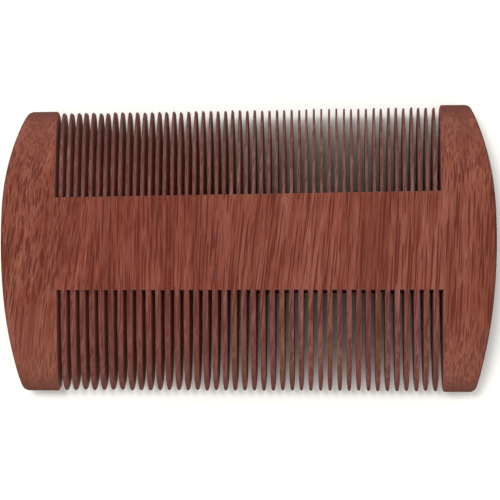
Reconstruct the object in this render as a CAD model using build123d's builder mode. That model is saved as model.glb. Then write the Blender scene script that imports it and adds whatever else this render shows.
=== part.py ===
from build123d import *

import math
import os

# A double-sided beard comb, sawn and ground from one board of red hardwood. It lies flat: X runs along the
# comb, +Y points to the fine teeth and -Y to the coarse teeth, and Z is up. The origin is under the middle of
# its box. The board has the same section all along X, at full thickness across the middle and drawn down to a
# thin nose along both toothed edges. Each piece is its own outline, seen from above, cut to that section.

# board
length = 98.4
width = 57.2
thickness = 9.5
flat_width = 19.0  # across the middle, at full thickness
nose_length = 3.8  # the last stretch before each toothed edge, where the section turns down hardest
nose_thickness = 5.6  # where the nose begins
edge_thickness = 1.0  # along the toothed edges

# guards: the solid, bowed plates outside the last slots
guard_width = 10.2  # the least that either guard keeps beside either row
bow_radius = 117.0
bow_middle = 2.1  # Y of the furthest point of each bowed end
sweep_length = 20.0  # along Y, where the bow tightens towards the fine edge
fine_corner_inset = 4.85  # from the comb's end to its outer corners on the fine edge
left_guard_shortfall = 0.6  # the left guard ends this much lower on the fine edge than the right one
fine_corner_radius = 0.7
coarse_corner_radius = 1.0
rim_radius = 0.45  # rounding along the bow, above and below
rim_share = 0.45  # the most of the edge's thickness that this rounding takes

# teeth of both rows
saw_cut = 0.93  # width of every slot
point_share = 0.62  # width of a tooth's point, as a share of the tooth's width

# fine row
fine_pitch = 1.489
fine_middle = 0.07  # X of the row's middle
fine_root = 10.6  # Y of the slots' bottoms, at the comb's middle
fine_root_rise = 1.2  # how much higher the slots' bottoms are at the right end than at the left
fine_tip_gap = 0.5  # from the guards' ends in to the teeth's tips
fine_point_length = 6.0

# coarse row
coarse_pitch = 1.892
coarse_middle = 0.47
coarse_root = -8.4
coarse_tip_gap = 0.15
coarse_point_length = 3.2

blank = 2 * thickness  # half the height of the outlines' blocks, more than the board's
right_fine_end = width / 2
left_fine_end = width / 2 - left_guard_shortfall
coarse_end = -width / 2


def teeth_that_fit(pitch, middle):
    """How many teeth a row has, with a slot on both sides of each and the guards' least width outside."""
    return int((length - 2 * guard_width - 2 * abs(middle) - saw_cut) / pitch)


def fine_root_at(x):
    return fine_root + fine_root_rise * x / length


def fine_tip_at(x):
    along = (x - left_fine_x) / (right_fine_x - left_fine_x)
    return left_fine_end + (right_fine_end - left_fine_end) * along - fine_tip_gap


def bow_at(y):
    """How far the bowed end stands from the comb's middle, at a place y across the comb."""
    return length / 2 - bow_radius + math.sqrt(bow_radius**2 - (y - bow_middle) ** 2)


def guard_outline(fine_inner, coarse_inner, root, fine_end):
    """A right-hand guard seen from above. fine_inner and coarse_inner are the X of its inner edges, beside
    the fine and the coarse teeth, and root is the Y of the fine slots' bottoms where they meet it."""
    shoulder_y = fine_end - sweep_length
    coarse_corner = (bow_at(coarse_end), coarse_end)
    shoulder = (bow_at(shoulder_y), shoulder_y)
    fine_corner = (length / 2 - fine_corner_inset, fine_end)
    with BuildSketch() as outline:
        with BuildLine():
            bow = ThreePointArc(coarse_corner, (length / 2, bow_middle), shoulder)
            TangentArc(shoulder, fine_corner, tangent=bow % 1)
            Polyline(
                fine_corner,
                (fine_inner, fine_end),
                (fine_inner, root),
                (coarse_inner, coarse_root),
                (coarse_inner, coarse_end),
                coarse_corner,
            )
        make_face()
        fillet(outline.vertices().group_by(Axis.Y)[-1].sort_by(Axis.X)[-1], fine_corner_radius)
        fillet(outline.vertices().group_by(Axis.Y)[0].sort_by(Axis.X)[-1], coarse_corner_radius)
    return outline.sketch


def guard(fine_inner, coarse_inner, root, fine_end):
    """A right-hand guard: its outline cut to the board's section, with its rims rounded."""
    with BuildPart() as plate:
        extrude(guard_outline(fine_inner, coarse_inner, root, fine_end), amount=blank, both=True)
        extrude(board.sketch, amount=length, both=True, mode=Mode.INTERSECT)
        # the rounding runs on from the bow along both toothed edges, and stops at the sharp inner corners
        bow_rims = plate.edges().filter_by(GeomType.LINE, reverse=True).group_by(Axis.X)[-1]
        fillet(bow_rims, min(rim_radius, rim_share * edge_thickness))
    return plate.part


def tooth_outline(x, tooth, root_left, root_right, tip, point_length):
    """One tooth seen from above, from its root on the spine to its rounded tip, in either row."""
    out = math.copysign(1, tip - root_left)
    point = point_share * tooth
    taper_y = tip - out * point_length
    round_y = tip - out * point / 2
    with BuildSketch() as outline:
        with BuildLine():
            Polyline(
                (x - point / 2, round_y),
                (x - tooth / 2, taper_y),
                (x - tooth / 2, root_left),
                (x + tooth / 2, root_right),
                (x + tooth / 2, taper_y),
                (x + point / 2, round_y),
            )
            ThreePointArc((x + point / 2, round_y), (x, tip), (x - point / 2, round_y))
        make_face()
    return outline.sketch


# the rows' teeth, and the X of the guards' inner edges, one slot out from each row's last teeth
fine_count = teeth_that_fit(fine_pitch, fine_middle)
coarse_count = teeth_that_fit(coarse_pitch, coarse_middle)
left_fine_x = fine_middle - (fine_count * fine_pitch + saw_cut) / 2
right_fine_x = fine_middle + (fine_count * fine_pitch + saw_cut) / 2
left_coarse_x = coarse_middle - (coarse_count * coarse_pitch + saw_cut) / 2
right_coarse_x = coarse_middle + (coarse_count * coarse_pitch + saw_cut) / 2

os.makedirs("parts", exist_ok=True)

# the board's section, seen along X: a quarter of it, mirrored twice
with BuildSketch(Plane(origin=(0, 0, thickness / 2), x_dir=(0, 1, 0), z_dir=(1, 0, 0))) as board:
    with BuildLine():
        flat = Line((0, thickness / 2), (flat_width / 2, thickness / 2))
        shoulder = TangentArc(flat @ 1, (width / 2 - nose_length, nose_thickness / 2), tangent=flat % 1)
        nose = TangentArc(shoulder @ 1, (width / 2, edge_thickness / 2), tangent=shoulder % 1)
        Line(nose @ 1, (width / 2, 0))
        mirror(about=Plane.YZ)
        mirror(about=Plane.XZ)
    make_face()

# spine: the solid bar between the two rows of slots
with BuildPart() as spine:
    with BuildSketch():
        with BuildLine():
            Polyline(
                (left_fine_x, fine_root_at(left_fine_x)),
                (right_fine_x, fine_root_at(right_fine_x)),
                (right_coarse_x, coarse_root),
                (left_coarse_x, coarse_root),
                close=True,
            )
        make_face()
    extrude(amount=blank, both=True)
    extrude(board.sketch, amount=length, both=True, mode=Mode.INTERSECT)
spine.part.label = "spine"
export_step(spine.part, "parts/spine.step")

# right guard
with BuildPart() as right_guard:
    add(guard(right_fine_x, right_coarse_x, fine_root_at(right_fine_x), right_fine_end))
right_guard.part.label = "right_guard"
export_step(right_guard.part, "parts/right_guard.step")

# left guard: made as a right-hand one and mirrored
with BuildPart() as left_guard:
    add(guard(-left_fine_x, -left_coarse_x, fine_root_at(left_fine_x), left_fine_end))
    mirror(about=Plane.YZ, mode=Mode.REPLACE)
left_guard.part.label = "left_guard"
export_step(left_guard.part, "parts/left_guard.step")

# fine teeth
with BuildPart() as fine_teeth:
    tooth = fine_pitch - saw_cut
    with BuildSketch():
        for i in range(fine_count):
            x = fine_middle + (i - (fine_count - 1) / 2) * fine_pitch
            root_left = fine_root_at(x - tooth / 2)
            root_right = fine_root_at(x + tooth / 2)
            add(tooth_outline(x, tooth, root_left, root_right, fine_tip_at(x), fine_point_length))
    extrude(amount=blank, both=True)
    extrude(board.sketch, amount=length, both=True, mode=Mode.INTERSECT)
fine_teeth.part.label = "fine_teeth"
export_step(fine_teeth.part, "parts/fine_teeth.step")

# coarse teeth
with BuildPart() as coarse_teeth:
    tooth = coarse_pitch - saw_cut
    tip = coarse_end + coarse_tip_gap
    with BuildSketch():
        for i in range(coarse_count):
            x = coarse_middle + (i - (coarse_count - 1) / 2) * coarse_pitch
            add(tooth_outline(x, tooth, coarse_root, coarse_root, tip, coarse_point_length))
    extrude(amount=blank, both=True)
    extrude(board.sketch, amount=length, both=True, mode=Mode.INTERSECT)
coarse_teeth.part.label = "coarse_teeth"
export_step(coarse_teeth.part, "parts/coarse_teeth.step")

print("fine teeth", fine_count, "coarse teeth", coarse_count)
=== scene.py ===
import math

import bmesh
import bpy
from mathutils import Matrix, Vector


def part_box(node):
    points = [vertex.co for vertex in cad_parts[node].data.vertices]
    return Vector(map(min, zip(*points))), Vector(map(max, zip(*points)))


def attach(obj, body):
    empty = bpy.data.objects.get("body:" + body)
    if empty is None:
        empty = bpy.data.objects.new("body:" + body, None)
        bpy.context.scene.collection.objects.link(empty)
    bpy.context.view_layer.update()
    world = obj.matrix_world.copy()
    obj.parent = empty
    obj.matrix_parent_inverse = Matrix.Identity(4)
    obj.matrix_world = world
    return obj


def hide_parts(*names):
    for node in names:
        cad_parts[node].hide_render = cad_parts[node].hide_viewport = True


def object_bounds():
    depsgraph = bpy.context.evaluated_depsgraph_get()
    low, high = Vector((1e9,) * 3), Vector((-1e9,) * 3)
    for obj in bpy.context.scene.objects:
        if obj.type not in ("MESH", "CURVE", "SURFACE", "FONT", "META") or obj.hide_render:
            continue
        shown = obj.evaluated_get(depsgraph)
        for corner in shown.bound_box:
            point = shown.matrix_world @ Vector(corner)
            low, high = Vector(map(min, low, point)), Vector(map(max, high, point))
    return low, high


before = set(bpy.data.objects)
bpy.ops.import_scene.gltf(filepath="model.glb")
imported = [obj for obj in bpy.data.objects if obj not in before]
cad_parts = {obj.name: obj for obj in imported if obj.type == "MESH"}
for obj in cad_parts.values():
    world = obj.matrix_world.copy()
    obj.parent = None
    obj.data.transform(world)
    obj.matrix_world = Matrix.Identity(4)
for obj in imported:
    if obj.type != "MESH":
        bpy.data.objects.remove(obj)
cadLow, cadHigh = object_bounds()
mm = 0.001
middleZ = (cadLow[2] + cadHigh[2]) / 2


def addNode(tree, kind, inputs=None, **settings):
    node = tree.nodes.new(kind)
    for name, value in settings.items():
        setattr(node, name, value)
    for key, value in (inputs or {}).items():
        if isinstance(value, bpy.types.NodeSocket):
            tree.links.new(value, node.inputs[key])
        else:
            node.inputs[key].default_value = value
    return node


def calc(tree, operation, *values):
    return addNode(tree, "ShaderNodeMath", dict(enumerate(values)), operation=operation).outputs[0]


def split(tree, vector):
    return addNode(tree, "ShaderNodeSeparateXYZ", {0: vector}).outputs


def combine(tree, **parts):
    return addNode(tree, "ShaderNodeCombineXYZ", parts).outputs[0]


def fade(tree, value, start, end, first=0.0, last=1.0, curve="LINEAR"):
    # runs from first to last while the value goes from start to end, and stays level outside them
    return addNode(tree, "ShaderNodeMapRange", {
        "Value": value, "From Min": start, "From Max": end, "To Min": first, "To Max": last,
    }, interpolation_type=curve).outputs["Result"]


def mix(tree, amount, first, second, blend="MIX"):
    inputs = {0: amount, 6: first, 7: second}
    return addNode(tree, "ShaderNodeMix", inputs, data_type="RGBA", blend_type=blend).outputs[2]


def newTree(name, kind, inputs, outputs):
    # inputs and outputs are (name, socket kind, value); returns the tree, what it is given and its end node
    tree = bpy.data.node_groups.new(name, kind)
    for direction, sockets in (("INPUT", inputs), ("OUTPUT", outputs)):
        for label, socketKind, value in sockets:
            socket = tree.interface.new_socket(label, in_out=direction, socket_type="NodeSocket" + socketKind)
            if value is not None:
                socket.default_value = value
    return tree, tree.nodes.new("NodeGroupInput").outputs, tree.nodes.new("NodeGroupOutput")


# The comb is one board with its grain along Y, the short way, ground thin towards both toothed edges.
board = {
    "half": (cadHigh[2] - cadLow[2]) / 2,
    "flat": 9.5 * mm,  # full thickness this far either side of the middle
    "noseStart": 24.8 * mm,  # where the section turns down hardest
    "noseHalf": 2.8 * mm,  # half the thickness there
    "edgeHalf": 0.5 * mm,  # and at the toothed edges
}


def tangentArc(start, heading, end):
    # the circle that leaves start along heading and passes through end, and its heading there
    turn = math.atan2(end[1] - start[1], end[0] - start[0]) - heading
    radius = math.dist(start, end) / (2 * math.sin(turn))
    centre = (start[0] - radius * math.sin(heading), start[1] + radius * math.cos(heading))
    return centre, abs(radius), heading + 2 * turn


flatEnd = (board["flat"], board["half"])
noseTop = (board["noseStart"], board["noseHalf"])
shoulderCentre, shoulderRadius, noseHeading = tangentArc(flatEnd, 0, noseTop)
noseCentre, noseRadius, _ = tangentArc(noseTop, noseHeading, (cadHigh[1], board["edgeHalf"]))


def halfThickness(y):
    y = min(abs(y), cadHigh[1])
    if y <= board["flat"]:
        return board["half"]
    if y <= board["noseStart"]:
        return shoulderCentre[1] + math.sqrt(shoulderRadius**2 - (y - shoulderCentre[0]) ** 2)
    return noseCentre[1] + math.sqrt(noseRadius**2 - (y - noseCentre[0]) ** 2)


def roundDrop(distance, radius):
    # how far a rounded edge has fallen at this distance in from where it ends
    inside = max(radius - max(distance, 0), 0)
    return radius - math.sqrt(radius**2 - inside**2)


def ring(y, left, right, half, leftRound, rightRound, steps):
    # a rounded rectangle across the board at y, starting at its top right
    mostRound = 0.98 * half  # so that the upper and lower corners never meet
    corners = (
        (right, rightRound, 1, 1),
        (left, leftRound, -1, 1),
        (left, leftRound, -1, -1),
        (right, rightRound, 1, -1),
    )
    points = []
    for x, radius, sideX, sideZ in corners:
        radius = min(radius, mostRound)
        for step in range(steps + 1):
            angle = math.pi / 2 * (step if sideX * sideZ > 0 else steps - step) / steps
            points.append(Vector((
                x - sideX * radius * (1 - math.cos(angle)),
                y,
                middleZ + sideZ * (half - radius * (1 - math.sin(angle))),
            )))
    return points


def loft(name, rings, material, sharpAngle):
    # a closed solid through the rings, capped at both ends, with corners past sharpAngle left sharp
    shape = bmesh.new()
    loops = [[shape.verts.new(point) for point in points] for points in rings]
    for near, far in zip(loops, loops[1:]):
        for i in range(len(near)):
            j = (i + 1) % len(near)
            shape.faces.new((near[i], near[j], far[j], far[i]))
    shape.faces.new(loops[0])
    shape.faces.new(reversed(loops[-1]))
    bmesh.ops.recalc_face_normals(shape, faces=shape.faces)
    mesh = bpy.data.meshes.new(name)
    shape.to_mesh(mesh)
    shape.free()
    mesh.materials.append(material)
    mesh.set_sharp_from_angle(angle=math.radians(sharpAngle))
    piece = bpy.data.objects.new(name, mesh)
    bpy.context.scene.collection.objects.link(piece)
    return piece


def finishPiece(piece, node):
    # smooth but for its true corners, with its modifiers worked into a plain mesh
    weights = piece.modifiers.new("evenShading", "WEIGHTED_NORMAL")
    weights.keep_sharp = True
    bpy.context.view_layer.update()
    evaluated = piece.evaluated_get(bpy.context.evaluated_depsgraph_get())
    mesh = bpy.data.meshes.new_from_object(evaluated)
    piece.modifiers.clear()
    piece.data = mesh
    mesh.name = piece.name
    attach(piece, "root")
    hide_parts(node)
    print(piece.name, "has", len(mesh.polygons), "faces")


# how the grain runs at places along the comb, in millimetres: shade is how deep its colour is, lean is its
# slant seen from above, and dip is how steeply it runs out of the board's face, which cuts the pores short
grainFigure = {
    "places": (-50, -43, -36, -28, -18, -8, 0, 10, 20, 32, 41, 50),
    "shade": (0.0, 0.0, 0.35, 1.0, 1.0, 0.6, 0.15, 0.15, 0.25, 0.15, 0.0, 0.0),
    "lean": (0.04, 0.13, 0.14, 0.02, 0.01, 0.04, 0.10, 0.12, 0.07, 0.06, 0.05, 0.03),
    "dip": (0.05, 0.10, 0.08, 0.035, 0.025, 0.02, 0.018, 0.015, 0.018, 0.015, 0.025, 0.05),
}


def figureCurve(tree, x, values):
    # a value that changes along the comb, from the list above
    lowest, highest = min(values), max(values)
    start = grainFigure["places"][0]
    span = grainFigure["places"][-1] - start
    curve = addNode(tree, "ShaderNodeFloatCurve", {
        "Value": calc(tree, "DIVIDE", calc(tree, "SUBTRACT", x, start), span),
    })
    points = curve.mapping.curves[0].points
    spots = [
        ((place - start) / span, (value - lowest) / (highest - lowest))
        for place, value in zip(grainFigure["places"], values)
    ]
    points[0].location = spots[0]
    points[-1].location = spots[-1]
    for spot in spots[1:-1]:
        points.new(*spot)
    curve.mapping.update()
    return fade(tree, curve.outputs["Value"], 0.0, 1.0, lowest, highest)


def grainFlowGroup():
    # millimetres that follow the fibres: X and Z across them and Y along them
    tree, given, made = newTree(
        "grainFlow", "ShaderNodeTree",
        [("Vector", "Vector", None), ("Waviness", "Float", 0.5), ("Wave Size", "Float", 12.0)],
        [("Vector", "Vector", None), ("Shade", "Float", None)],
    )
    scaling = {0: given["Vector"], "Scale": 1 / mm}
    scaled = addNode(tree, "ShaderNodeVectorMath", scaling, operation="SCALE").outputs[0]
    place = split(tree, scaled)
    noise = addNode(tree, "ShaderNodeTexNoise", {
        "Vector": scaled, "Scale": calc(tree, "DIVIDE", 1, given["Wave Size"]), "Detail": 1.0,
    })
    waves = addNode(tree, "ShaderNodeSeparateColor", {0: noise.outputs["Color"]}).outputs

    def acrossFibres(part, wave, slant):
        waved = calc(tree, "MULTIPLY", calc(tree, "SUBTRACT", wave, 0.5), given["Waviness"])
        slanted = calc(tree, "MULTIPLY", figureCurve(tree, place["X"], slant), place["Y"])
        return calc(tree, "SUBTRACT", calc(tree, "ADD", part, waved), slanted)

    flow = combine(
        tree,
        X=acrossFibres(place["X"], waves["Red"], grainFigure["lean"]),
        Y=place["Y"],
        Z=acrossFibres(place["Z"], waves["Green"], grainFigure["dip"]),
    )
    tree.links.new(flow, made.inputs["Vector"])
    tree.links.new(figureCurve(tree, place["X"], grainFigure["shade"]), made.inputs["Shade"])
    return tree


def drawnOut(tree, vector, width, length):
    # places counted in widths across the fibres and in lengths along them
    place = split(tree, vector)
    return combine(
        tree,
        X=calc(tree, "DIVIDE", place["X"], width),
        Y=calc(tree, "DIVIDE", place["Y"], length),
        Z=calc(tree, "DIVIDE", place["Z"], width),
    )


def poresGroup():
    # long tubes along the grain, dark where a face cuts them
    tree, given, made = newTree(
        "pores", "ShaderNodeTree",
        [
            ("Vector", "Vector", None), ("Spacing", "Float", 0.6), ("Length", "Float", 30.0),
            ("Radius", "Float", 0.12), ("Softness", "Float", 0.06),
        ],
        [("Mask", "Float", None)],
    )
    cells = drawnOut(tree, given["Vector"], given["Spacing"], given["Length"])
    nearest = addNode(tree, "ShaderNodeTexVoronoi", {"Vector": cells, "Scale": 1.0}).outputs
    # measured across the grain only, so that each pore is a tube and not a bead
    offset = addNode(tree, "ShaderNodeVectorMath", {0: nearest["Position"], 1: cells}, operation="SUBTRACT")
    flattening = {0: offset.outputs[0], 1: (1, 0, 1)}
    flatOffset = addNode(tree, "ShaderNodeVectorMath", flattening, operation="MULTIPLY")
    gap = addNode(tree, "ShaderNodeVectorMath", {0: flatOffset.outputs[0]}, operation="LENGTH")
    distance = calc(tree, "MULTIPLY", gap.outputs["Value"], given["Spacing"])
    # the pores' radii run from 0.35 to 1.35 of the given one
    chance = addNode(tree, "ShaderNodeSeparateColor", {0: nearest["Color"]}).outputs["Red"]
    radius = calc(tree, "MULTIPLY", given["Radius"], calc(tree, "ADD", 0.35, chance))
    inner = calc(tree, "SUBTRACT", radius, given["Softness"])
    outer = calc(tree, "ADD", radius, given["Softness"])
    tree.links.new(fade(tree, distance, inner, outer, 1.0, 0.0, "SMOOTHSTEP"), made.inputs["Mask"])
    return tree


def streaksGroup():
    # noise drawn out along the grain, from 0 to 1 round 0.5
    tree, given, made = newTree(
        "streaks", "ShaderNodeTree",
        [
            ("Vector", "Vector", None), ("Width", "Float", 0.4), ("Length", "Float", 15.0),
            ("Detail", "Float", 2.0),
        ],
        [("Value", "Float", None)],
    )
    drawn = drawnOut(tree, given["Vector"], given["Width"], given["Length"])
    noise = addNode(tree, "ShaderNodeTexNoise", {"Vector": drawn, "Scale": 1.0, "Detail": given["Detail"]})
    tree.links.new(noise.outputs["Fac"], made.inputs["Value"])
    return tree


grainFlow = grainFlowGroup()
pores = poresGroup()
streaks = streaksGroup()


def groupNode(tree, group, **inputs):
    return addNode(tree, "ShaderNodeGroup", inputs, node_tree=group).outputs


# what the three woods share; streaks and pores are in millimetres
woodFigure = {
    "waviness": 0.15,
    "waveSize": 8.0,
    "bands": {"Width": 2.6, "Length": 45.0, "Detail": 3.0},  # slow changes between brown, red and pale
    "bandRange": (0.36, 0.64),  # the bands' values that are fully brown and fully pale
    "wide": {"Width": 0.5, "Length": 16.0, "Detail": 3.0},
    "wideAmount": 0.6,
    "fine": {"Width": 0.20, "Detail": 3.0},  # their length is each wood's fibreLength
    "fineAmount": 0.8,
    "fibreRange": (0.34, 0.66),  # the streaks' values that are fully dark and fully light
    "pores": {"Spacing": 0.52, "Length": 13.0, "Radius": 0.165, "Softness": 0.035},
    "poreAmount": 0.85,
    "roughnessSpread": 0.1,  # either way, with the wide streaks
    "fibreRelief": 0.5,  # of a pore's depth
    "bumpStrength": 0.35,
    "bumpDepth": 0.04 * mm,
    "shine": 0.06,
}
# where each tint comes in: it runs from the third number to the fourth between the first two
tintRanges = {
    "crossGrainSheenAndShade": (0.02, 0.25, 0.0, 0.30),  # by how far a face leans along Y
    "endGrain": (0.25, 0.75, 0.0, 0.75),  # the same, on steeper faces
    "wall": (0.70, 0.98, 0.0, 1.0),  # by how far a face turns towards X
    "rim": (0.15, 0.75, 0.0, 0.85),
    "sawn": (17 * mm, 26 * mm, 0.85, 0.35),  # by distance along Y from the middle, lightening the walls most near the slots' bottoms as painted fill light
}
boardLooks = {
    "pale": (0.226, 0.069, 0.043, 1),
    "red": (0.193, 0.054, 0.0325, 1),
    "brown": (0.157, 0.041, 0.0245, 1),
    "pore": (0.084, 0.015, 0.010, 1),
    "shade": (0.88, 0.77, 0.77, 1),  # multiplied in where the grain figure is deeper
    "fibreDark": (0.76, 0.54, 0.46, 1),  # multiplied in, along the dark and the light fibres
    "fibreLight": (1.10, 1.32, 1.40, 1),
    "fibreLength": 4.0,
    "crossGrainSheenAndShade": (0.228, 0.090, 0.063, 1),  # where the slopes cut across the grain, paler here as painted sheen on the board's slopes
    "endGrain": (0.095, 0.034, 0.026, 1),
    "sawn": (0.50, 0.215, 0.170, 1),  # on the walls of the slots: paler sawn wood, lifted further as painted fill light
    "rimWearAndPaintedShade": (0.40, 0.72, 1.0, 1),  # multiplied in, on the bowed ends and their rims: partly handled wear, partly painted shade and grey reflection where the rims turn away
    "slotReach": 39.0 * mm,  # along X, the slots lie within this distance of the middle
    "roughness": 0.68,
}
fineLooks = boardLooks | {
    "pale": (0.178, 0.082, 0.067, 1),
    "red": (0.147, 0.066, 0.054, 1),
    "brown": (0.115, 0.050, 0.041, 1),
    "fibreDark": (0.66, 0.52, 0.50, 1),
    "fibreLight": (1.22, 1.36, 1.38, 1),
    "fibreLength": 1.8,
    # the teeth's slopes are darker: the grain cut across, with painted shade
    "crossGrainSheenAndShade": (0.110, 0.062, 0.052, 1),
}
coarseLooks = fineLooks | {
    "pale": (0.182, 0.068, 0.052, 1),
    "red": (0.150, 0.054, 0.041, 1),
    "brown": (0.117, 0.041, 0.031, 1),
    # darker on the slopes: the grain cut across, with painted shade
    "crossGrainSheenAndShade": (0.124, 0.053, 0.043, 1),
}


def woodTones(tree, bands, looks):
    tones = addNode(tree, "ShaderNodeValToRGB", {"Fac": bands})
    ramp = tones.color_ramp
    brownSpot, paleSpot = woodFigure["bandRange"]
    ramp.elements[0].position = brownSpot
    ramp.elements[0].color = looks["brown"]
    ramp.elements[1].position = paleSpot
    ramp.elements[1].color = looks["pale"]
    ramp.elements.new((brownSpot + paleSpot) / 2).color = looks["red"]
    return tones.outputs["Color"]


def tintByFace(tree, where, colour, looks):
    # the wood's colour changes on the slopes, the ends, the slots' walls and the bowed rims: partly grain,
    # sawing and wear, partly painted sheen on the slopes, painted fill light in the slots and painted shade
    # along the rims
    facing = split(tree, where["Normal"])
    place = split(tree, where["Object"])
    slope = calc(tree, "ABSOLUTE", facing["Y"])
    # on the slopes the grain is cut across; this tint also paints sheen on the board and shade on the teeth
    colour = mix(tree, fade(tree, slope, *tintRanges["crossGrainSheenAndShade"]), colour, looks["crossGrainSheenAndShade"])
    colour = mix(tree, fade(tree, slope, *tintRanges["endGrain"]), colour, looks["endGrain"])
    sideways = calc(tree, "ABSOLUTE", facing["X"])
    # the slots' walls: paler sawn wood, plus painted fill light that is strongest deep in the slots
    inSlots = calc(tree, "LESS_THAN", calc(tree, "ABSOLUTE", place["X"]), looks["slotReach"])
    wall = calc(tree, "MULTIPLY", fade(tree, sideways, *tintRanges["wall"]), inSlots)
    paleAndFillByDepth = fade(tree, calc(tree, "ABSOLUTE", place["Y"]), *tintRanges["sawn"])
    colour = mix(tree, calc(tree, "MULTIPLY", wall, paleAndFillByDepth), colour, looks["sawn"])
    # the bowed rims darker and greyer: handled wear together with painted shade and grey reflection
    outside = calc(tree, "SUBTRACT", 1, inSlots)
    rim = calc(tree, "MULTIPLY", fade(tree, sideways, *tintRanges["rim"]), outside)
    return mix(tree, rim, colour, looks["rimWearAndPaintedShade"], "MULTIPLY")


def makeWood(name, looks):
    material = bpy.data.materials.new(name)
    material.use_nodes = True
    tree = material.node_tree
    shader = tree.nodes["Principled BSDF"].inputs
    where = tree.nodes.new("ShaderNodeTexCoord").outputs
    flowing = {"Waviness": woodFigure["waviness"], "Wave Size": woodFigure["waveSize"]}
    grain = groupNode(tree, grainFlow, Vector=where["Object"], **flowing)
    flow = grain["Vector"]
    bands = groupNode(tree, streaks, Vector=flow, **woodFigure["bands"])["Value"]
    wide = groupNode(tree, streaks, Vector=flow, **woodFigure["wide"])["Value"]
    fine = groupNode(tree, streaks, Vector=flow, Length=looks["fibreLength"], **woodFigure["fine"])["Value"]
    pore = groupNode(tree, pores, Vector=flow, **woodFigure["pores"])["Mask"]

    colour = woodTones(tree, bands, looks)
    for value, amount in ((wide, woodFigure["wideAmount"]), (fine, woodFigure["fineAmount"])):
        share = fade(tree, value, *woodFigure["fibreRange"])
        tint = mix(tree, share, looks["fibreDark"], looks["fibreLight"])
        colour = mix(tree, amount, colour, tint, "MULTIPLY")
    colour = mix(tree, grain["Shade"], colour, looks["shade"], "MULTIPLY")
    colour = mix(tree, calc(tree, "MULTIPLY", pore, woodFigure["poreAmount"]), colour, looks["pore"])
    tree.links.new(tintByFace(tree, where, colour, looks), shader["Base Color"])

    smoothest = looks["roughness"] - woodFigure["roughnessSpread"]
    roughest = looks["roughness"] + woodFigure["roughnessSpread"]
    tree.links.new(fade(tree, wide, 0.0, 1.0, smoothest, roughest), shader["Roughness"])
    relief = calc(tree, "SUBTRACT", calc(tree, "MULTIPLY", fine, woodFigure["fibreRelief"]), pore)
    bump = addNode(tree, "ShaderNodeBump", {
        "Height": relief, "Strength": woodFigure["bumpStrength"], "Distance": woodFigure["bumpDepth"],
    })
    tree.links.new(bump.outputs["Normal"], shader["Normal"])
    shader["Specular IOR Level"].default_value = woodFigure["shine"]
    return material


boardWood = makeWood("boardWood", boardLooks)
fineWood = makeWood("fineToothWood", fineLooks)
coarseWood = makeWood("coarseToothWood", coarseLooks)
print("wood is mixed")


sawCut = 0.93 * mm
slotRim = 0.12 * mm  # softened edge along the slots' bottoms, which the teeth's roots run in under

fineRow = {
    "node": "fine_teeth",
    "name": "fineTeeth",
    "teeth": 51,
    "out": 1,  # which way along Y the teeth point
    "rootRise": 0.012,  # slope of the line of slot bottoms
    "tipRise": 0.0078,  # and of the line of tips
    "pointLength": 6.0 * mm,
    "pointShare": 0.66,  # of the tooth's width, just before the tip is rounded
    "fullness": 1.0,  # under 1, the point stays wide for longer
    "tipRound": 0.24 * mm,  # length of the tip's rounding, seen from above
    "noseRound": 0.55 * mm,  # and seen from the side
    "edgeRound": 0.10 * mm,  # along the tooth's four edges
    "unevenness": 0.10 * mm,  # the most that a tip may stand out or fall short
    "wander": 0.06 * mm,  # and the most that it may lean to one side
    "seed": 3,
}
coarseRow = {
    "node": "coarse_teeth",
    "name": "coarseTeeth",
    "teeth": 40,
    "out": -1,
    "rootRise": 0.0,
    "tipRise": 0.0,
    "pointLength": 2.3 * mm,
    "pointShare": 0.56,
    "fullness": 0.7,
    "tipRound": 0.45 * mm,
    "noseRound": 0.6 * mm,
    "edgeRound": 0.13 * mm,
    "unevenness": 0.06 * mm,
    "wander": 0.05 * mm,
    "seed": 8,
}
# what the teeth of both rows share
toothShape = {
    "rings": 34,
    "crowding": 2.0,  # brings the rings closer together towards the tip
    "bluntSides": 0.02 * mm,  # keeps the tip from closing up, seen from above
    "bluntNose": 0.03 * mm,  # and seen from the side
    "tipThickness": 0.35,  # of the board's thickness there
    "edgeStart": 0.05,  # of the edges' rounding, at the root
    "edgeReach": 2 * mm,  # from the root, where that rounding is full
    "edgeMost": 0.8,  # of half the tooth's width
    "edgeSteps": 2,
    "sharpAngle": 50,
}


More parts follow.
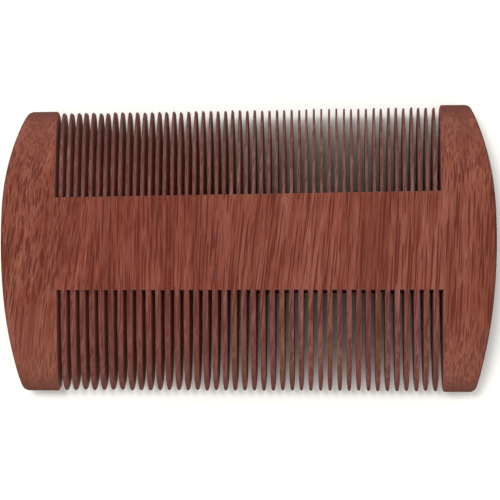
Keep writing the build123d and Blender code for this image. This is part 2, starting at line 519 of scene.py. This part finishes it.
def toothRowTree():
    tree, given, made = newTree(
        "toothRow", "GeometryNodeTree",
        [
            ("Tooth", "Geometry", None), ("Teeth", "Int", 40), ("First", "Float", 0.0),
            ("Pitch", "Float", 0.0019), ("Root", "Float", 0.0), ("Tip", "Float", 0.02),
            ("Root Rise", "Float", 0.0), ("Tip Rise", "Float", 0.0), ("Unevenness", "Float", 0.0),
            ("Wander", "Float", 0.0), ("Seed", "Int", 0), ("Wood", "Material", None),
        ],
        [("Teeth", "Geometry", None)],
    )
    line = addNode(tree, "GeometryNodeMeshLine", {
        "Count": given["Teeth"],
        "Start Location": combine(tree, X=given["First"]),
        "Offset": combine(tree, X=given["Pitch"]),
    })
    row = addNode(tree, "GeometryNodeInstanceOnPoints", {
        "Points": line.outputs[0], "Instance": given["Tooth"],
    })
    # each tooth keeps its own place and its own two chances, one for its reach and one for its side
    kept = tree.nodes.new("GeometryNodeCaptureAttribute")
    kept.domain = "INSTANCE"
    for label in ("Place", "Reach", "Side"):
        kept.capture_items.new("FLOAT", label)
    index = tree.nodes.new("GeometryNodeInputIndex").outputs[0]
    for label, seedStep in (("Reach", 0), ("Side", 100)):
        seed = calc(tree, "ADD", given["Seed"], seedStep)
        chance = addNode(tree, "FunctionNodeRandomValue", {2: -1.0, 3: 1.0, "ID": index, "Seed": seed})
        tree.links.new(chance.outputs[1], kept.inputs[label])
    position = tree.nodes.new("GeometryNodeInputPosition").outputs[0]
    tree.links.new(split(tree, position)["X"], kept.inputs["Place"])
    tree.links.new(row.outputs[0], kept.inputs[0])
    place, reach, side = [kept.outputs[label] for label in ("Place", "Reach", "Side")]
    real = addNode(tree, "GeometryNodeRealizeInstances", {0: kept.outputs[0]})
    # along is 0 at the root and 1 at the tip
    along = fade(tree, split(tree, position)["Y"], given["Root"], given["Tip"])
    back = calc(tree, "SUBTRACT", 1, along)
    rootShift = calc(tree, "MULTIPLY", calc(tree, "MULTIPLY", given["Root Rise"], place), back)
    uneven = calc(tree, "MULTIPLY", given["Unevenness"], reach)
    tipShift = calc(tree, "MULTIPLY_ADD", given["Tip Rise"], place, uneven)
    shift = calc(tree, "MULTIPLY_ADD", tipShift, along, rootShift)
    # a tooth that leans to one side does so more and more towards its tip
    bend = calc(tree, "POWER", along, 1.5)
    drift = calc(tree, "MULTIPLY", calc(tree, "MULTIPLY", given["Wander"], side), bend)
    moved = addNode(tree, "GeometryNodeSetPosition", {
        "Geometry": real.outputs[0], "Offset": combine(tree, X=drift, Y=shift),
    })
    clad = addNode(tree, "GeometryNodeSetMaterial", {
        "Geometry": moved.outputs[0], "Material": given["Wood"],
    })
    tree.links.new(clad.outputs[0], made.inputs[0])
    return tree


toothRow = toothRowTree()


def setInputs(modifier, values):
    for item in modifier.node_group.interface.items_tree:
        if item.item_type == "SOCKET" and item.in_out == "INPUT" and item.name in values:
            modifier[item.identifier] = values[item.name]


def stations(start, end, count, crowding):
    # places from start to end, closer together towards the end
    return [end + (start - end) * (1 - i / count) ** crowding for i in range(count + 1)]


def endFullness(gap, length, blunt):
    # how full a rounded end is at this distance in from its tip
    return math.sqrt(1 - (1 - min((gap + blunt) / length, 1)) ** 2)


def toothRing(row, width, y, root, tip):
    shape = toothShape
    gap = abs(tip - y)
    reach = max(abs(y - root), 0)
    taper = row["pointShare"] + (1 - row["pointShare"]) * min(gap / row["pointLength"], 1) ** row["fullness"]
    halfWidth = width / 2 * taper * endFullness(gap, row["tipRound"], shape["bluntSides"])
    noseFullness = endFullness(gap, row["noseRound"], shape["bluntNose"])
    half = halfThickness(y) * (shape["tipThickness"] + (1 - shape["tipThickness"]) * noseFullness)
    edge = row["edgeRound"] * min(shape["edgeStart"] + reach / shape["edgeReach"], 1)
    edge = min(edge, shape["edgeMost"] * halfWidth)
    return ring(y, -halfWidth, halfWidth, half, edge, edge, shape["edgeSteps"])


def makeRow(row, wood):
    low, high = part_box(row["node"])
    pitch = (high.x - low.x + sawCut) / row["teeth"]
    width = pitch - sawCut
    # root and tip on the comb's middle line; the lines of roots and tips may rise from there
    if row["out"] > 0:
        root = low.y - row["rootRise"] * low.x
        tip = high.y - row["tipRise"] * (high.x - width / 2)
    else:
        root = high.y
        tip = low.y
    start = root - row["out"] * slotRim
    places = stations(start, tip, toothShape["rings"], toothShape["crowding"])
    rings = [toothRing(row, width, y, root, tip) for y in places]
    piece = loft(row["name"], rings, wood, toothShape["sharpAngle"])
    modifier = piece.modifiers.new("toothRow", "NODES")
    modifier.node_group = toothRow
    setInputs(modifier, {
        "Teeth": row["teeth"], "First": low.x + width / 2, "Pitch": pitch, "Root": root, "Tip": tip,
        "Root Rise": row["rootRise"], "Tip Rise": row["tipRise"],
        "Unevenness": row["unevenness"], "Wander": row["wander"], "Seed": row["seed"], "Wood": wood,
    })
    finishPiece(piece, row["node"])


makeRow(fineRow, fineWood)
makeRow(coarseRow, coarseWood)


# the guards' inner edges lie one slot out from each row's last teeth, left and right
fineLow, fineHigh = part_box("fine_teeth")
coarseLow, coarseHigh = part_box("coarse_teeth")
fineInner = (fineLow.x - sawCut, fineHigh.x + sawCut)
coarseInner = (coarseLow.x - sawCut, coarseHigh.x + sawCut)
coarseRoot = coarseHigh.y
fineRoot = fineLow.y - fineRow["rootRise"] * fineLow.x


def fineRootAt(x):
    return fineRoot + fineRow["rootRise"] * x


barShape = {
    "rimRings": 5,  # over the softened edge at each side
    "ringShares": (0.1, 0.3, 0.5),  # of the way across, between the edges
    "slant": 0.5 * mm,  # the coarse slots' bottoms run this much further out at the lower face
    "slantFade": 4,  # how fast that is lost across the bar
    "sharpAngle": 35,
}


def makeMiddleBar():
    shape = barShape
    length = fineRoot - coarseRoot
    rim = [slotRim * (step / shape["rimRings"]) ** 2 for step in range(shape["rimRings"] + 1)]
    places = rim + [length - place for place in rim]
    places += [length * share for share in shape["ringShares"]] + [board["flat"] - coarseRoot]
    rings = []
    for place in sorted(places):
        share = place / length
        left = coarseInner[0] + (fineInner[0] - coarseInner[0]) * share
        right = coarseInner[1] + (fineInner[1] - coarseInner[1]) * share
        half = halfThickness(coarseRoot + place) - roundDrop(min(place, length - place), slotRim)
        slant = shape["slant"] * (1 - share) ** shape["slantFade"]
        points = []
        for x, z, back in ((right, half, 0), (left, half, 0), (left, -half, slant), (right, -half, slant)):
            y = coarseRoot + place + share * fineRow["rootRise"] * x - back
            points.append(Vector((x, y, middleZ + z)))
        rings.append(points)
    finishPiece(loft("middleBar", rings, boardWood, shape["sharpAngle"]), "spine")


makeMiddleBar()


guardShape = {
    "bowRadius": 117.0 * mm,
    "bowMiddle": 2.1 * mm,  # Y of the furthest point of the bowed end
    "sweep": 20.0 * mm,  # along Y, where the bow tightens towards the fine edge
    "cornerInset": 4.85 * mm,  # from the comb's end to the outer corner on the fine edge
    "fineCorner": 0.8 * mm,
    "coarseCorner": 1.0 * mm,
    "rim": 0.45 * mm,  # rounding along the bow and both ends
    "endDrop": 0.9,  # of half the edge's thickness, lost to the rounding of the ends
    "innerRim": 0.15 * mm,  # softening along the slots
    "innerStart": 0.02,  # of that softening, beside the middle bar
    "innerReach": 1.5 * mm,  # from the slots' bottoms, where it is full
    "relief": 0.40 * mm,  # the inner corners are eased back this far
    "reliefLength": 1.0 * mm,
    "cornerSteps": 5,
    "sharpAngle": 50,
}
# where a guard's rings lie along Y
guardRings = {
    "rimShares": (0, 0.02, 0.08, 0.18, 0.32, 0.5, 0.72, 1.0),  # of the ends' rounding
    "fromEnds": (0.6, 0.8, 1.0, 1.2, 1.5, 1.8, 2.2, 2.7, 3.3),  # millimetres in from both ends
    "evenStart": 4 * mm,  # from here on they are evenly spaced
    "spacing": 0.8 * mm,
    "clearance": 0.3 * mm,  # and keep this far from those at the slots' bottoms
}


def guardPlaces(coarseEnd, fineEnd, fineStart):
    insets = [guardShape["rim"] * share for share in guardRings["rimShares"]]
    insets += [inset * mm for inset in guardRings["fromEnds"]]
    places = [coarseEnd + inset for inset in insets] + [fineEnd - inset for inset in insets]
    places += [coarseRoot, fineStart]
    y = coarseEnd + guardRings["evenStart"]
    while y < fineEnd - guardRings["evenStart"]:
        if min(abs(y - coarseRoot), abs(y - fineStart)) > guardRings["clearance"]:
            places.append(y)
        y += guardRings["spacing"]
    return sorted(places)


def makeGuard(name, node, side):
    # worked out as a right-hand guard, and turned over for the left
    low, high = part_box(node)
    shape = guardShape
    reach = high.x if side > 0 else -low.x
    coarseInside, fineInside = [abs(pair[1 if side > 0 else 0]) for pair in (coarseInner, fineInner)]
    fineEnd, coarseEnd = high.y, low.y
    fineStart = fineRootAt(side * fineInside)
    bowX = reach - shape["bowRadius"]
    shoulderY = fineEnd - shape["sweep"]
    shoulderX = bowX + math.sqrt(shape["bowRadius"] ** 2 - (shoulderY - shape["bowMiddle"]) ** 2)
    heading = math.pi / 2 + math.asin((shoulderY - shape["bowMiddle"]) / shape["bowRadius"])
    corner = (reach - shape["cornerInset"], fineEnd)
    sweepCentre, sweepRadius, _ = tangentArc((shoulderX, shoulderY), heading, corner)
    rings = []
    for y in guardPlaces(coarseEnd, fineEnd, fineStart):
        gap = min(y - coarseEnd, fineEnd - y)
        if y < shoulderY:
            outer = bowX + math.sqrt(shape["bowRadius"] ** 2 - (y - shape["bowMiddle"]) ** 2)
        else:
            outer = sweepCentre[0] + math.sqrt(sweepRadius**2 - (y - sweepCentre[1]) ** 2)
        outer -= roundDrop(fineEnd - y, shape["fineCorner"]) + roundDrop(y - coarseEnd, shape["coarseCorner"])
        share = min(max((y - coarseRoot) / (fineStart - coarseRoot), 0), 1)
        inside = coarseInside + (fineInside - coarseInside) * share
        inside += shape["relief"] * (roundDrop(gap, shape["reliefLength"]) / shape["reliefLength"])
        # the nose is ground to each guard's own end
        ground = min(max((y - fineStart) / (fineEnd - fineStart), 0), 1) ** 2 * (cadHigh[1] - fineEnd)
        half = halfThickness(y + ground) - roundDrop(gap, shape["endDrop"] * board["edgeHalf"])
        away = max(coarseRoot - y, y - fineStart, 0)
        innerRound = shape["innerRim"] * min(shape["innerStart"] + away / shape["innerReach"], 1)
        points = ring(y, inside, outer, half, innerRound, shape["rim"], shape["cornerSteps"])
        rings.append([Vector((side * point.x, point.y, point.z)) for point in points])
    finishPiece(loft(name, rings, boardWood, shape["sharpAngle"]), node)


makeGuard("leftGuard", "left_guard", -1)
makeGuard("rightGuard", "right_guard", 1)


# lengths and places are in metres, but for the lens
studio = {
    "floorHalf": 1.5,  # from the floor's middle to its sides
    "floor": (0.88, 0.868, 0.825, 1),
    "floorRoughness": 0.9,
    "between": (0.91, 0.835, 0.735, 1),  # painted warm shade on the floor under the comb, seen between the teeth where the wood's reddish bounce light and shade fall
    "betweenReach": (38.5 * mm, 24.5 * mm),  # along X and Y from the middle
    "betweenFade": 2.5 * mm,  # over this distance either side of that reach
    "lamp": (-0.115, 0.13, 0.585),
    "lampSize": 0.19,
    "lampPower": 2.05,  # watts
    "air": 0.87,  # brightness of the light from all round
    "eye": (0.01688, -0.0115, 0.2656),
    "turn": (2.456, 3.580, -0.169),  # degrees
    "lens": 93.66,  # millimetres, as is the sensor
    "sensor": 36,
    "nearest": 0.01,  # nothing closer to the camera than this is drawn
}


def makeFloor():
    shape = bmesh.new()
    bmesh.ops.create_grid(shape, x_segments=1, y_segments=1, size=studio["floorHalf"])
    mesh = bpy.data.meshes.new("floor")
    shape.to_mesh(mesh)
    shape.free()
    floor = bpy.data.objects.new("floor", mesh)
    bpy.context.scene.collection.objects.link(floor)
    paper = bpy.data.materials.new("palePaper")
    paper.use_nodes = True
    tree = paper.node_tree
    shader = tree.nodes["Principled BSDF"].inputs
    place = split(tree, tree.nodes.new("ShaderNodeTexCoord").outputs["Object"])
    soft = studio["betweenFade"]
    near = [
        fade(tree, calc(tree, "ABSOLUTE", place[axis]), reach - soft, reach + soft, 1.0, 0.0, "SMOOTHSTEP")
        for axis, reach in zip("XY", studio["betweenReach"])
    ]
    # painted warm shade under the comb, fading out past its reach
    colour = mix(tree, calc(tree, "MULTIPLY", *near), studio["floor"], studio["between"])
    tree.links.new(colour, shader["Base Color"])
    shader["Roughness"].default_value = studio["floorRoughness"]
    mesh.materials.append(paper)


def makeLight():
    lamp = bpy.data.lights.new("softbox", "AREA")
    lamp.shape = "DISK"
    lamp.size = studio["lampSize"]
    lamp.energy = studio["lampPower"]
    softbox = bpy.data.objects.new("softbox", lamp)
    softbox.location = studio["lamp"]
    softbox.rotation_euler = (-Vector(studio["lamp"])).to_track_quat("-Z", "Y").to_euler()
    bpy.context.scene.collection.objects.link(softbox)
    world = bpy.data.worlds.new("air")
    world.use_nodes = True
    sky = world.node_tree.nodes["Background"].inputs
    sky["Color"].default_value = (1, 1, 1, 1)
    sky["Strength"].default_value = studio["air"]
    bpy.context.scene.world = world


def makeCamera():
    lens = bpy.data.cameras.new("camera")
    lens.lens = studio["lens"]
    lens.sensor_width = studio["sensor"]
    lens.clip_start = studio["nearest"]
    camera = bpy.data.objects.new("camera", lens)
    camera.location = studio["eye"]
    camera.rotation_mode = "ZYX"
    camera.rotation_euler = [math.radians(angle) for angle in studio["turn"]]
    bpy.context.scene.collection.objects.link(camera)
    bpy.context.scene.camera = camera


makeFloor()
makeLight()
makeCamera()
bpy.context.scene.view_settings.view_transform = "Standard"
print("floor, light and camera are set")
